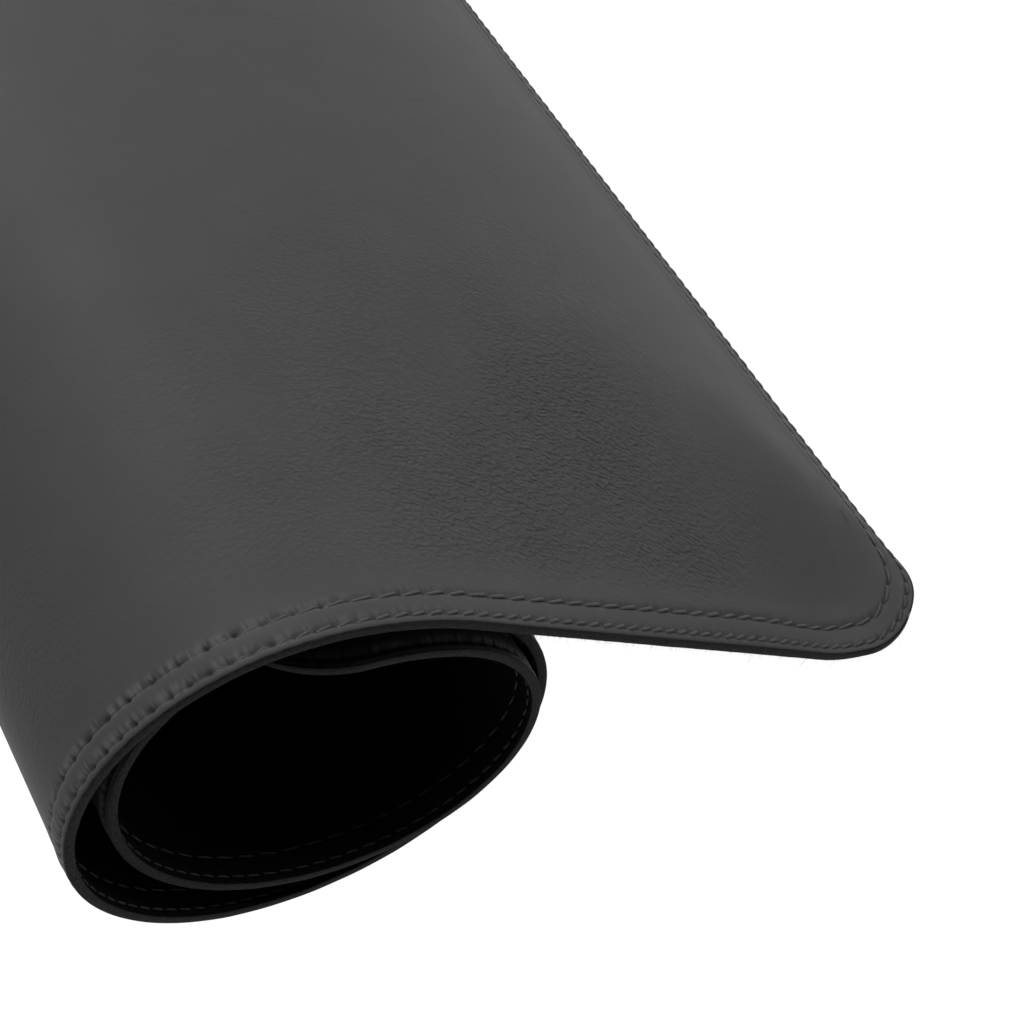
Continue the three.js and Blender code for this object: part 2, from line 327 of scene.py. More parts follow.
def split_across(face):
    rim = sorted(face.verts, key=lambda v: v.co.x)
    first_split, last_split = CORNER_RADIUS - SNAP, PAD_LENGTH - CORNER_RADIUS + SNAP
    straight = [v for v in rim if first_split < v.co.x < last_split]
    near = [v for v in straight if v.co.y < PAD_WIDTH / 2]
    far = [v for v in straight if v.co.y > PAD_WIDTH / 2]
    for a, b in zip(near, far):
        other, _ = bmesh.utils.face_split(face, a, b)
        face = max(other, face, key=lambda half: max(v.co.x for v in half.verts))


print("sheets are split across from", round(CORNER_RADIUS / MM), "mm up to the far corners")

# %% [markdown]
# ## Cuts where the sheet arches
# The part that arches bends both ways, so it is also bisected lengthwise, closer together towards the long
# edges, where it changes most. The back of a sheet has no rings, so it gets cuts of its own along the
# border. Without them the back would stay flat where the face bends, and show through.

# %% Cut the part that arches
ARCH_CUTS = np.array([21, 28, 36, 46, 58, 72, 90, 112, 140, 170]) * MM
BACK_CUTS = np.array([2, 4.5, 7, 9.5, 12, 14.4, 17.5]) * MM


def cut_arch(piece, across, place, below):
    bpy.ops.mesh.select_all(action="DESELECT")
    mesh = bmesh.from_edit_mesh(piece.data)
    for face in mesh.faces:
        corners = [v.co for v in face.verts]
        if min(co.x for co in corners) < arch_run and max(co.z for co in corners) < below:
            reach = [co.dot(across) for co in corners]
            face.select = min(reach) < place < max(reach)
    bmesh.update_edit_mesh(piece.data)
    bpy.ops.mesh.bisect(plane_co=across * place, plane_no=across)


print("cuts for each half:", len(ARCH_CUTS), "through the sheet and", len(BACK_CUTS), "in its back")

# %% [markdown]
# ## Making a flat sheet
# A layer starts as a filled circle whose points are moved onto the pad's outline. Inset then steps the
# border inwards ring by ring, which puts points where dents and seams will be and none where the sheet
# stays plain. Extruding the rim and filling it gives the sheet its back.

# %% Make a flat sheet
def flat_sheet(name, inset, step, rings, thickness):
    s, y, _ = outline(inset, step)
    bpy.ops.object.select_all(action="DESELECT")
    bpy.ops.mesh.primitive_circle_add(vertices=len(s), fill_type="NGON")
    piece = bpy.context.object
    piece.name = piece.data.name = name
    piece.data.vertices.foreach_set("co", np.column_stack([s, y, np.zeros(len(s))]).ravel())
    bpy.ops.object.mode_set(mode="EDIT")
    bpy.ops.mesh.select_all(action="SELECT")
    for width in np.diff([inset, *rings]):
        bpy.ops.mesh.inset(thickness=width, use_even_offset=True)
    mesh = bmesh.from_edit_mesh(piece.data)
    split_across(next(f for f in mesh.faces if f.select))
    bmesh.update_edit_mesh(piece.data)
    bpy.ops.mesh.select_all(action="DESELECT")
    bpy.ops.mesh.select_mode(type="EDGE")
    bpy.ops.mesh.select_non_manifold()
    bpy.ops.mesh.extrude_edges_move(TRANSFORM_OT_translate={"value": (0, 0, -thickness)})
    bpy.ops.mesh.edge_face_add()
    mesh = bmesh.from_edit_mesh(piece.data)
    split_across(max(mesh.faces, key=lambda f: len(f.verts)))
    bmesh.update_edit_mesh(piece.data)
    bpy.ops.mesh.select_mode(type="FACE")
    for side in (*ARCH_CUTS, *(PAD_WIDTH - ARCH_CUTS)):
        cut_arch(piece, Vector((0, 1, 0)), side, thickness)
    for side in (*BACK_CUTS, *(PAD_WIDTH - BACK_CUTS)):
        cut_arch(piece, Vector((0, 1, 0)), side, -thickness / 2)
    for end in BACK_CUTS:
        cut_arch(piece, Vector((1, 0, 0)), end, -thickness / 2)
    bpy.ops.mesh.select_all(action="SELECT")
    bpy.ops.mesh.normals_make_consistent(inside=False)
    bpy.ops.object.mode_set(mode="OBJECT")
    return piece


# %% [markdown]
# ## From flat to rolled
# Before a piece is rolled, its flat places are kept as a UV map in metres. The grain, the felt and the
# twist of the thread are later drawn on that map, so they follow the sheet round the bends at their true
# size instead of cutting through it.

# %% Read, mark and move points
def flat_points(piece):
    points = np.empty(len(piece.data.vertices) * 3)
    piece.data.vertices.foreach_get("co", points)
    return points.reshape(-1, 3)


def keep_flat_map(piece, u, v):
    corners = np.empty(len(piece.data.loops), dtype=int)
    piece.data.loops.foreach_get("vertex_index", corners)
    layers = piece.data.uv_layers
    layer = layers[0] if layers else layers.new(name="flat")
    layer.name = "flat"
    layer.uv.foreach_set("vector", np.column_stack([u, v])[corners].ravel())


def move_points(piece, places):
    piece.data.vertices.foreach_set("co", places.ravel())
    piece.data.update()


def smooth(piece, degrees):
    bpy.ops.object.select_all(action="DESELECT")
    piece.select_set(True)
    bpy.context.view_layer.objects.active = piece
    bpy.ops.object.shade_smooth_by_angle(angle=math.radians(degrees))


def stand_for(piece, node):
    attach(piece, "root")
    if node:
        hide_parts(node)


# %% [markdown]
# ## Where the needle went through
# Both rows are sewn with the same seam, at their own stitch length. The count is a whole number round
# the border, so that the last stitch meets the first one. The starting points were read off the
# photograph, which puts each stitch where it can be seen there.

# %% Lay out the stitches
OUTER_PITCH = 4.07 * MM
INNER_PITCH = 5.632 * MM
OUTER_START = 73.1 * MM - CORNER_RADIUS
INNER_START = 74.95 * MM - CORNER_RADIUS


def holes(row, pitch, start):
    length = legs(row).sum()
    count = round(length / pitch)
    return start + np.arange(count) * length / count, length / count


def hole_gap(s, y, row, pitch, start):
    _, step = holes(row, pitch, start)
    phase = np.mod(border_distance(s, y, row) - start, step)
    return np.minimum(phase, step - phase), step


ROWS = [(OUTER_ROW, OUTER_PITCH, OUTER_START), (INNER_ROW, INNER_PITCH, INNER_START)]
print("stitches:", [len(holes(*row)[0]) for row in ROWS])

# %% [markdown]
# ## The leather face
# On the real pad the seam pulls the leather down onto its padding. Each row lies in a groove with a pit
# at every hole, the leather swells up beside it and between the two rows, and fine puckers run out from
# the holes where the pad is bent. This could be painted with a bump map, but the border is seen close up
# and at a low angle, so it is real relief here. These are its sizes.

# %% Sizes of the leather's relief
LEATHER_INSET = 0.43 * MM
GROOVE_DEPTH = 0.2 * MM
GROOVE_WIDTH = 0.62 * MM
PIT_DEPTH = 0.4 * MM
PIT_RADIUS = 0.4 * MM
PUFF = 0.3 * MM
RIM_PUFF = 0.12 * MM
RIM_PUFF_AT = OUTER_ROW / 2 + 0.3 * MM
RIM_PUFF_WIDTH = 0.7 * MM
SHOULDER = 0.32 * MM
SHOULDER_RISE = 1.8 * MM
SHOULDER_FALL = (2.2 * MM, 6.15 * MM)
PUCKER = 0.1 * MM
PUCKER_REACH = 1.6 * MM
PUCKER_RISE = (0.2 * MM, 0.7 * MM)
EDGE_ROLL = 0.22 * MM
EDGE_ROLL_WIDTH = 0.6 * MM
# The width of the darker line along the leather's rim, and of the shade painted along each groove.
EDGE_MARK = 0.5
EDGE_MARK_WIDTH = 0.4 * MM
GROOVE_SHADE_WIDTH = 0.25 * MM
GATHER_AT = 0.7 * MM
GATHER_WIDTH = 1.1 * MM
SINK_FROM = 150 * MM
SINK_TO = 235 * MM
print("the seam pulls tighter from", SINK_FROM / MM, "to", SINK_TO / MM, "mm along the pad")

# %% [markdown]
# ## Pressed and gathered leather, with painted shade and highlights
# The seam bites deeper on the roll than on the flat part, so each form has a strength on the flat part and
# a change that is added on the roll. The same sums tell the finish where to paint shade into the pits and
# along the grooves, where a darker line runs along the leather's rim, and where the leather is gathered
# and gets painted highlights on its folds.

# %% Work out the relief
PIT_SPREAD = (1, 0.4)
PIT_SHARE = (1, 0.5)
GROOVE_SHARE = (1, 0.2)
SHOULDER_SHARE = (1, -0.75)
PUCKER_SHARE = (0.4, 0.2)
# How much shade is painted into the pits and along the grooves, and where fold highlights are painted.
PIT_SHADE = (0.6, 0.4)
GROOVE_SHADE = (0.3, 0.3)
GATHER_MARK = (0.25, 0.75)


def bump(value, centre, width):
    return np.exp(-((value - centre) / width) ** 2)


def slope_off(inset, width):
    return np.clip(1 - (inset - LEATHER_INSET) / width, 0, 1)


def leather_relief(s, y):
    inset = inset_of(s, y)
    wound_share = ease(s, SINK_FROM, SINK_TO)

    def strength(pair):
        return pair[0] + pair[1] * wound_share

    middle, half = (OUTER_ROW + INNER_ROW) / 2, (INNER_ROW - OUTER_ROW) / 2
    relief = PUFF * np.clip(1 - ((inset - middle) / half) ** 2, 0, 1)
    past_row = inset - INNER_ROW
    shoulder = ease(past_row, 0, SHOULDER_RISE) * (1 - ease(past_row, *SHOULDER_FALL))
    relief += SHOULDER * shoulder * strength(SHOULDER_SHARE)
    relief += RIM_PUFF * bump(inset, RIM_PUFF_AT, RIM_PUFF_WIDTH)
    relief -= EDGE_ROLL * slope_off(inset, EDGE_ROLL_WIDTH) ** 2
    # Marks for the finish: painted shade in the pits and grooves, and a darker line at the rim.
    shade_and_joint, gather = EDGE_MARK * slope_off(inset, EDGE_MARK_WIDTH), np.zeros(len(s))
    for row, pitch, start in ROWS:
        gap, step = hole_gap(s, y, row, pitch, start)
        across = inset - row
        away = np.abs(across)
        pit = np.exp(-(gap ** 2 + across ** 2) / (PIT_RADIUS * strength(PIT_SPREAD)) ** 2)
        ridge = np.cos(2 * math.pi * gap / step) * np.exp(-away / PUCKER_REACH) * ease(away, *PUCKER_RISE)
        relief -= GROOVE_DEPTH * bump(across, 0, GROOVE_WIDTH) * strength(GROOVE_SHARE)
        relief -= PIT_DEPTH * pit * strength(PIT_SHARE)
        relief -= PUCKER * ridge * strength(PUCKER_SHARE)
        shade_and_joint = np.maximum(shade_and_joint, pit * strength(PIT_SHADE))
        shade_and_joint = np.maximum(shade_and_joint, strength(GROOVE_SHADE) * bump(across, 0, GROOVE_SHADE_WIDTH))
        gather = np.maximum(gather, strength(GATHER_MARK) * bump(across, GATHER_AT, GATHER_WIDTH))
    return relief, shade_and_joint, gather


halfway = leather_relief(np.array([PAD_LENGTH / 2]), np.array([OUTER_ROW]))[0][0]
print("halfway along, the outer row is pressed in by", round(-halfway / MM, 2), "mm")

# %% [markdown]
# ## Shaping the leather
# The rings of the sheet lie closest where the two rows are. Only the face gets the relief, and the back
# stays even on its glue. The fine grain is left to the finish.

# %% Shape the leather
LEATHER_STEP = 0.68 * MM
LEATHER_RINGS = MM * np.array([
    0.62, 0.95, 1.4, 1.8, 2.1, 2.45, 2.8, 3.3, 4.2, 5.2,
    6.0, 6.6, 7.0, 7.35, 7.7, 8.1, 8.7, 9.6, 10.8, 12.4, 14.4,
])
SHEET_SMOOTH = 55

leather = flat_sheet("leather_skin", LEATHER_INSET, LEATHER_STEP, LEATHER_RINGS, LEATHER_THICKNESS)
points = flat_points(leather)
on_face = points[:, 2] > -LEATHER_THICKNESS / 2
relief, shade_and_joint, gather = leather_relief(points[:, 0], points[:, 1])
height = THICKNESS + points[:, 2] + np.where(on_face, relief, 0)
keep_flat_map(leather, points[:, 0], points[:, 1])
# Kept for the finish: where shade and the rim line are painted, and where fold highlights are painted.
for name, values in (("shade_and_joint_mark", shade_and_joint), ("gathered", gather)):
    attribute = leather.data.attributes.new(name, "FLOAT", "POINT")
    attribute.data.foreach_set("value", np.where(on_face, values, 0))
move_points(leather, roll(points[:, 0], points[:, 1], height))
smooth(leather, SHEET_SMOOTH)
stand_for(leather, "leather_face")
print("leather has", len(leather.data.polygons), "faces")

# %% [markdown]
# ## The interlining
# A bonded fibre sheet between the leather and the felt stiffens the pad. The paint hides its edge, so it
# needs no relief, only its place between the two glue lines.

# %% Shape the interlining
INTERLINING_INSET = 0.51 * MM
HIDDEN_STEP = 1.3 * MM
HIDDEN_RINGS = np.array([1.4, 3.3, 5.2, 7.35, 9.6, 12, 14.4]) * MM
INTERLINING_TOP = FELT_THICKNESS + GLUE_LINE + INTERLINING_THICKNESS

interlining = flat_sheet(
    "interlining_sheet", INTERLINING_INSET, HIDDEN_STEP, HIDDEN_RINGS, INTERLINING_THICKNESS,
)
points = flat_points(interlining)
keep_flat_map(interlining, points[:, 0], points[:, 1])
move_points(interlining, roll(points[:, 0], points[:, 1], INTERLINING_TOP + points[:, 2]))
smooth(interlining, SHEET_SMOOTH)
stand_for(interlining, "interlining")
print("interlining has", len(interlining.data.polygons), "faces")

# %% [markdown]
# ## The felt back
# Felt is pressed fibre, so its face is never quite even and the bobbin rows press shallow furrows into
# it. It is made upside down: the ring side of the flat sheet becomes the face that looks down, and the
# back of the sheet lies against the glue.

# %% Shape the felt
FELT_INSET = 0.43 * MM
FELT_STEP = 1.3 * MM
FELT_RINGS = MM * np.array([
    0.9, 1.5, 1.9, 2.3, 2.7, 3.2, 4.2, 5.4,
    6.4, 6.95, 7.35, 7.75, 8.4, 9.6, 12, 14.4,
])
FURROW_DEPTH = 0.3 * MM
FURROW_WIDTH = 0.5 * MM
FELT_ROUNDING = 0.3 * MM
FELT_ROUNDING_WIDTH = 0.9 * MM


def felt_relief(s, y):
    inset = inset_of(s, y)
    furrows = bump(inset, OUTER_ROW, FURROW_WIDTH) + bump(inset, INNER_ROW, FURROW_WIDTH)
    rounding = np.clip(1 - (inset - FELT_INSET) / FELT_ROUNDING_WIDTH, 0, 1) ** 2
    return FURROW_DEPTH * furrows + FELT_ROUNDING * rounding


felt = flat_sheet("felt_sheet", FELT_INSET, FELT_STEP, FELT_RINGS, FELT_THICKNESS)
points = flat_points(felt)
on_face = points[:, 2] > -FELT_THICKNESS / 2
height = -points[:, 2] + np.where(on_face, felt_relief(points[:, 0], points[:, 1]), 0)
keep_flat_map(felt, points[:, 0], points[:, 1])
move_points(felt, roll(points[:, 0], points[:, 1], height))
felt.data.flip_normals()
smooth(felt, SHEET_SMOOTH)
stand_for(felt, "felt_backing")
print("felt has", len(felt.data.polygons), "faces")

# %% [markdown]
# ## The painted edge
# After cutting, the edge is sealed with a few coats of thick paint. The outline is extruded up into a
# band, Solidify gives it the paint's thickness and Bevel rounds its two rims, as the paint does by itself.

# %% Extrude the painted edge
COAT_THICKNESS = 0.35 * MM
COAT_STEP = 0.9 * MM
COAT_ROUNDING = 0.33 * MM
COAT_ROUNDING_STEPS = 3
COAT_RIM_ANGLE = 60
COAT_FOOT = 0.06 * MM


def apply_modifier(piece, kind, **settings):
    modifier = piece.modifiers.new(kind.title(), kind)
    for key, value in settings.items():
        setattr(modifier, key, value)
    bpy.context.view_layer.objects.active = piece
    bpy.ops.object.modifier_apply(modifier=modifier.name)


s, y, _ = outline(COAT_THICKNESS, COAT_STEP)
bpy.ops.object.select_all(action="DESELECT")
bpy.ops.mesh.primitive_circle_add(vertices=len(s), fill_type="NOTHING")
coat = bpy.context.object
coat.name = coat.data.name = "painted_edge"
coat.data.vertices.foreach_set("co", np.column_stack([s, y, np.full(len(s), COAT_FOOT)]).ravel())
bpy.ops.object.mode_set(mode="EDIT")
bpy.ops.mesh.select_all(action="SELECT")
bpy.ops.mesh.extrude_edges_move(TRANSFORM_OT_translate={"value": (0, 0, THICKNESS - 2 * COAT_FOOT)})
bpy.ops.mesh.select_all(action="SELECT")
bpy.ops.mesh.normals_make_consistent(inside=False)
bpy.ops.object.mode_set(mode="OBJECT")
apply_modifier(coat, "SOLIDIFY", thickness=COAT_THICKNESS, offset=1, use_even_offset=True)
apply_modifier(
    coat, "BEVEL", width=COAT_ROUNDING, segments=COAT_ROUNDING_STEPS, limit_method="ANGLE",
    angle_limit=math.radians(COAT_RIM_ANGLE), use_clamp_overlap=True,
)
print("painted edge has", len(coat.data.polygons), "faces")

# %% [markdown]
# ## The dome of the paint
# Thick paint dries to a low dome, so the band is drawn in towards its two rims. Three long and very low
# waves keep it from looking machined.

# %% Dome the painted edge
COAT_DOME = 0.25 * MM
COAT_WAVE = 0.0165 * MM
COAT_WAVE_RUNS = ((3.1 * MM, 0), (7.3 * MM, 1), (1.7 * MM, 0))
COAT_SMOOTH = 70

points = flat_points(coat)
inset = inset_of(points[:, 0], points[:, 1])
round_border = border_distance(points[:, 0], points[:, 1], 0)
outer = ease(inset, COAT_THICKNESS, 0)
dome = COAT_DOME * (2 * points[:, 2] / THICKNESS - 1) ** 2
wave = COAT_WAVE * sum(np.sin(round_border / run + turn) for run, turn in COAT_WAVE_RUNS)
heading = border_place(round_border, 0)[2]
inward = outer * (dome + wave)
flat_s = points[:, 0] - np.sin(heading) * inward
flat_y = points[:, 1] + np.cos(heading) * inward
keep_flat_map(coat, round_border, points[:, 2])
move_points(coat, roll(flat_s, flat_y, points[:, 2]))
smooth(coat, COAT_SMOOTH)
stand_for(coat, "edge_coat")
print("the paint is drawn in by up to", round(inward.max() / MM, 2), "mm at its rims")

# %% [markdown]
# ## The stitches
# A lockstitch shows one short slanted length of thread for each step of the seam. One stitch is modelled
# from a cylinder that lies on its side and is subdivided along its length, so that it can be tapered. A
# bevelled curve would do as well, but here it is plain how few faces a stitch has, which matters when
# there are hundreds.

# %% Model one stitch
STITCH_SIDES = 6
STITCH_CUTS = 5


def cut_lengthwise(piece, axis, cuts):
    bpy.ops.object.mode_set(mode="EDIT")
    bpy.ops.mesh.select_all(action="DESELECT")
    mesh = bmesh.from_edit_mesh(piece.data)
    for edge in mesh.edges:
        start, end = edge.verts
        edge.select = abs(start.co[axis] - end.co[axis]) > 0.5
    bmesh.update_edit_mesh(piece.data)
    bpy.ops.mesh.subdivide(number_cuts=cuts)
    bpy.ops.object.mode_set(mode="OBJECT")


def one_stitch(name):
    bpy.ops.object.select_all(action="DESELECT")
    lying = (0, math.pi / 2, 0)
    bpy.ops.mesh.primitive_cylinder_add(vertices=STITCH_SIDES, radius=0.5, depth=1, rotation=lying)
    piece = bpy.context.object
    piece.name = piece.data.name = name
    bpy.ops.object.transform_apply(location=False, rotation=True, scale=False)
    cut_lengthwise(piece, 0, STITCH_CUTS)
    return piece


def copies_of(piece, name, count, places):
    faces = [list(face.vertices) for face in piece.data.polygons]
    size = len(piece.data.vertices)
    copied = [[corner + size * copy for corner in face] for copy in range(count) for face in faces]
    mesh = bpy.data.meshes.new(name)
    mesh.from_pydata(places, [], copied)
    piece.data = mesh


print("each stitch is a bar with", STITCH_SIDES, "sides and", STITCH_CUTS, "cuts")

# %% [markdown]
# ## A row of stitches
# The stitch is plump in the middle and drawn down into the hole at both ends. It is copied along its row,
# and each copy differs a little in slant and height. On the bent part of the pad the seam pulls tighter,
# so the stitches lie deeper there.

# %% Copy a stitch along its row
STITCH_SLANT_VARIES = math.radians(2)
STITCH_HEIGHT_VARIES = 0.07
STITCH_TAPER = 0.93
STITCH_SMOOTH = 80


def thread_row(name, node, slot, row, pitch, start, side):
    piece = one_stitch(name)
    shape = flat_points(piece)
    starts, step = holes(row, pitch, start)
    random = np.random.default_rng(len(name))
    count = len(starts)
    share = shape[:, 0] * 2
    plump = np.sqrt(np.clip(1 - (STITCH_TAPER * share) ** 4, 0, 1))
    slant = side["slant"] + random.normal(0, STITCH_SLANT_VARIES, count)
    long = share * step * side["reach"] / 2
    wide = shape[:, 1] * side["width"] * plump
    tall = shape[:, 2] * side["height"] * plump - side["dip"] * share ** 4
    tall = tall[None, :] * (1 + random.normal(0, STITCH_HEIGHT_VARIES, count))[:, None]
    run = long[None, :] * np.cos(slant)[:, None] + wide[None, :] * np.sin(slant)[:, None]
    across = wide[None, :] * np.cos(slant)[:, None] - long[None, :] * np.sin(slant)[:, None]
    centre = starts + step / 2
    s, y, heading = border_place((centre[:, None] + run).ravel(), row)
    s, y = s - np.sin(heading) * across.ravel(), y + np.cos(heading) * across.ravel()
    sunk = side["sink"] * ease(s, SINK_FROM, SINK_TO)
    height = side["level"] + side["up"] * (tall.ravel() - sunk)
    copies_of(piece, name, count, roll(s, y, height))
    around = np.arctan2(shape[:, 2], shape[:, 1]) / (2 * math.pi)
    keep_flat_map(piece, np.tile(share, count), np.tile(around, count))
    if side["up"] < 0:
        piece.data.flip_normals()
    smooth(piece, STITCH_SMOOTH)
    stand_for(piece, node)
    print(name, "has", count, "stitches")
    return piece


# %% [markdown]
# ## Four threads
# The needle thread lies on the leather and the bobbin thread on the felt, and they lock inside the pad.
# The bobbin thread is thinner and its stitches are shorter, because the felt swallows their ends.

# %% Sew the rows
NEEDLE = dict(
    width=0.88 * MM, height=0.8 * MM, dip=0.42 * MM, sink=0.8 * MM,
    level=THICKNESS + 0.12 * MM, up=1,
)
NEEDLE_OUTER = dict(slant=math.radians(15), reach=0.95, **NEEDLE)
NEEDLE_INNER = dict(slant=math.radians(9), reach=0.93, **NEEDLE)
BOBBIN = dict(
    slant=math.radians(5), reach=0.82, width=0.5 * MM, height=0.36 * MM, dip=0.25 * MM,
    sink=0, level=0.13 * MM, up=-1,
)

threads = {}
for kind, slot, sides in (
    ("needle", "needle_thread", (NEEDLE_OUTER, NEEDLE_INNER)),
    ("bobbin", "bobbin_thread", (BOBBIN, BOBBIN)),
):
    for place, row, side in zip(("outer", "inner"), ROWS, sides):
        key = f"{place}_{kind}"
        threads[key] = thread_row(key + "_stitches", key + "_thread", slot, *row, side)

# %% [markdown]
# ## The felt's loose fibres
# Where felt is cut, fibres work loose and stand out along the edge. Hair would do it, but hair is lost
# when the model is exported. One fibre is a thin three-sided cone, cut once so that it can have a kink in
# the middle.

# %% Model one fibre
FIBRE_TIP = 0.12

bpy.ops.object.select_all(action="DESELECT")
bpy.ops.mesh.primitive_cone_add(
    vertices=3, radius1=0.5, radius2=FIBRE_TIP, depth=1, end_fill_type="TRIFAN", location=(0, 0, 0.5),
)
fibres = bpy.context.object
fibres.name = fibres.data.name = "felt_fibres"
bpy.ops.object.transform_apply(location=True, rotation=False, scale=False)
cut_lengthwise(fibres, 2, 1)
shape = flat_points(fibres)
print("one fibre has", len(shape), "points")

# %% [markdown]
# ## Scattering the fibres
# The fibre is copied along the felt's rim, each copy with its own length, lean and kink. Most are short,
# and few reach past the painted edge, as on felt that has been trimmed.

# %% Scatter the fibres
FIBRE_COUNT = 11000
FIBRE_THICKNESS = 0.07 * MM
FIBRE_ROW = 0.5 * MM
FIBRE_FROM = 0.35 * MM
FIBRE_SPREAD = 0.55 * MM
FIBRE_LENGTH = (2.2, 0.3 * MM)
FIBRE_LEAN_OUT = (-0.5, 1.0)
FIBRE_LEAN_ALONG = 0.7
FIBRE_KINK = 0.35
FIBRE_ROOT = 0.12 * MM
FIBRE_FALL = 0.75
FIBRE_LOWEST = 0.02 * MM

random = np.random.default_rng(7)
round_border = random.uniform(0, legs(FIBRE_ROW).sum(), FIBRE_COUNT)
inset = FIBRE_FROM + np.abs(random.normal(0, FIBRE_SPREAD, FIBRE_COUNT))
s, y, heading = border_place(round_border, FIBRE_ROW)
s, y = s - np.sin(heading) * (inset - FIBRE_ROW), y + np.cos(heading) * (inset - FIBRE_ROW)
length = random.gamma(*FIBRE_LENGTH, FIBRE_COUNT)
lean_out = random.uniform(*FIBRE_LEAN_OUT, FIBRE_COUNT)
lean_along = random.normal(0, FIBRE_LEAN_ALONG, FIBRE_COUNT)
kink = random.normal(0, FIBRE_KINK, FIBRE_COUNT)
step = shape[:, 2][None, :] * length[:, None]
bent = kink[:, None] * step * shape[:, 2][None, :]
thick_a, thick_b = (shape[:, axis][None, :] * FIBRE_THICKNESS for axis in (0, 1))
run = lean_along[:, None] * step + thick_a + bent
across = -lean_out[:, None] * step + thick_b
drop = FIBRE_ROOT - step * FIBRE_FALL
flat_s = s[:, None] + np.cos(heading)[:, None] * run - np.sin(heading)[:, None] * across
flat_y = y[:, None] + np.sin(heading)[:, None] * run + np.cos(heading)[:, None] * across
places = roll(np.clip(flat_s.ravel(), 0, PAD_LENGTH), flat_y.ravel(), drop.ravel())
places[:, 2] = np.maximum(places[:, 2], FIBRE_LOWEST)
copies_of(fibres, "felt_fibres", FIBRE_COUNT, places)
stand_for(fibres, None)
print("loose fibres:", FIBRE_COUNT)

# %% [markdown]
# ## Finishes
# Every finish is a Principled shader with its pattern drawn by noise and Voronoi nodes. A small helper
# starts a finish, and another adds a node and links it, so that each recipe below reads as a list of
# steps.

# %% Start a finish and add nodes
def plug(tree, value, socket):
    if isinstance(value, bpy.types.NodeSocket):
        tree.links.new(value, socket)
    else:
        socket.default_value = value


def finish(name, colour, roughness, **sockets):
    material = bpy.data.materials.new(name)
    material.use_nodes = True
    shader = material.node_tree.nodes["Principled BSDF"]
    shader.inputs["Base Color"].default_value = (*colour, 1)
    shader.inputs["Roughness"].default_value = roughness
    for socket, value in sockets.items():
        shader.inputs[socket.replace("_", " ")].default_value = value
    return material, material.node_tree, shader


def add(tree, kind, settings=(), **inputs):
    node = tree.nodes.new(kind)
    for key, value in dict(settings).items():
        setattr(node, key, value)
    for socket, value in inputs.items():
        plug(tree, value, node.inputs[socket.replace("_", " ")])
    return node


# %% [markdown]
# ## Patterns on the flat map
# A pattern is drawn on the map of the flat pad, scaled to its own size. These helpers place it there, draw
# noise on it, spread its values to a range that is needed, and do sums with them.

# %% Draw patterns and do sums
def flat_map(tree, scale, turn=0.0):
    place = add(tree, "ShaderNodeUVMap", {"uv_map": "flat"})
    mapping = add(tree, "ShaderNodeMapping", Vector=place.outputs["UV"], Scale=scale, Rotation=(0, 0, turn))
    return mapping.outputs["Vector"]


def noise(tree, scale, turn=0.0, **inputs):
    return add(tree, "ShaderNodeTexNoise", Vector=flat_map(tree, scale, turn), Scale=1.0, **inputs)


def ramp_of(tree, value, low, high, to_low, to_high):
    ends = dict(From_Min=low, From_Max=high, To_Min=to_low, To_Max=to_high)
    return add(tree, "ShaderNodeMapRange", Value=value, **ends).outputs["Result"]


def calculate(tree, operation, *values):
    node = add(tree, "ShaderNodeMath", {"operation": operation})
    for socket, value in zip(node.inputs, values):
        plug(tree, value, socket)
    return node.outputs[0]


def multiply(tree, first, *others):
    for other in others:
        first = calculate(tree, "MULTIPLY", first, other)
    return first


# %% [markdown]
# ## Colour and bump
# A pattern then goes into the colour, as the share of two tones, or into the relief, as the height of a
# Bump node. Several such nodes are chained, each adding its relief to the one before.

# %% Blend tones and chain bumps
def blend(tree, share, first, second):
    mix = add(tree, "ShaderNodeMix", {"data_type": "RGBA"})
    plug(tree, share, mix.inputs[0])
    for value, socket in ((first, mix.inputs[6]), (second, mix.inputs[7])):
        plug(tree, value if isinstance(value, bpy.types.NodeSocket) else (*value, 1), socket)
    return mix.outputs[2]


def tint(tree, shader, share, dark, light):
    tree.links.new(blend(tree, share, dark, light), shader.inputs["Base Color"])


def relief_chain(tree, shader, layers):
    normal = None
    for height, distance, strength in layers:
        node = add(tree, "ShaderNodeBump", Height=height, Distance=distance, Strength=strength)
        if normal:
            tree.links.new(normal, node.inputs["Normal"])
        normal = node.outputs["Normal"]
    tree.links.new(normal, shader.inputs["Normal"])


# %% [markdown]
# ## Leather
# The face is a smooth finished hide, dark grey and nearly matt. It shows a fine pebble everywhere. On the
# part that has been bent the hide keeps short slanting wrinkles, which lie more and more across the pad
# towards the free end. They are a Voronoi pattern stretched along its own slant: the flat map is sheared
# by a formula first, and noise then shakes it, so that no wrinkle is straight.

# %% Wrinkle the leather
SLANT_AT = 80 * MM
SLANT = 0.3
SLANT_CHANGE = 1.4
WRINKLE_LENGTH = 1.25 * MM
WRINKLE_WIDTH = 0.85 * MM
WOBBLE_SCALE = (330, 330, 1)
WOBBLE = (1.8, 1.8, 0)
SOFT_CELLS = {"feature": "SMOOTH_F1"}
LEATHER_LIGHT = (0.0485, 0.0485, 0.049)

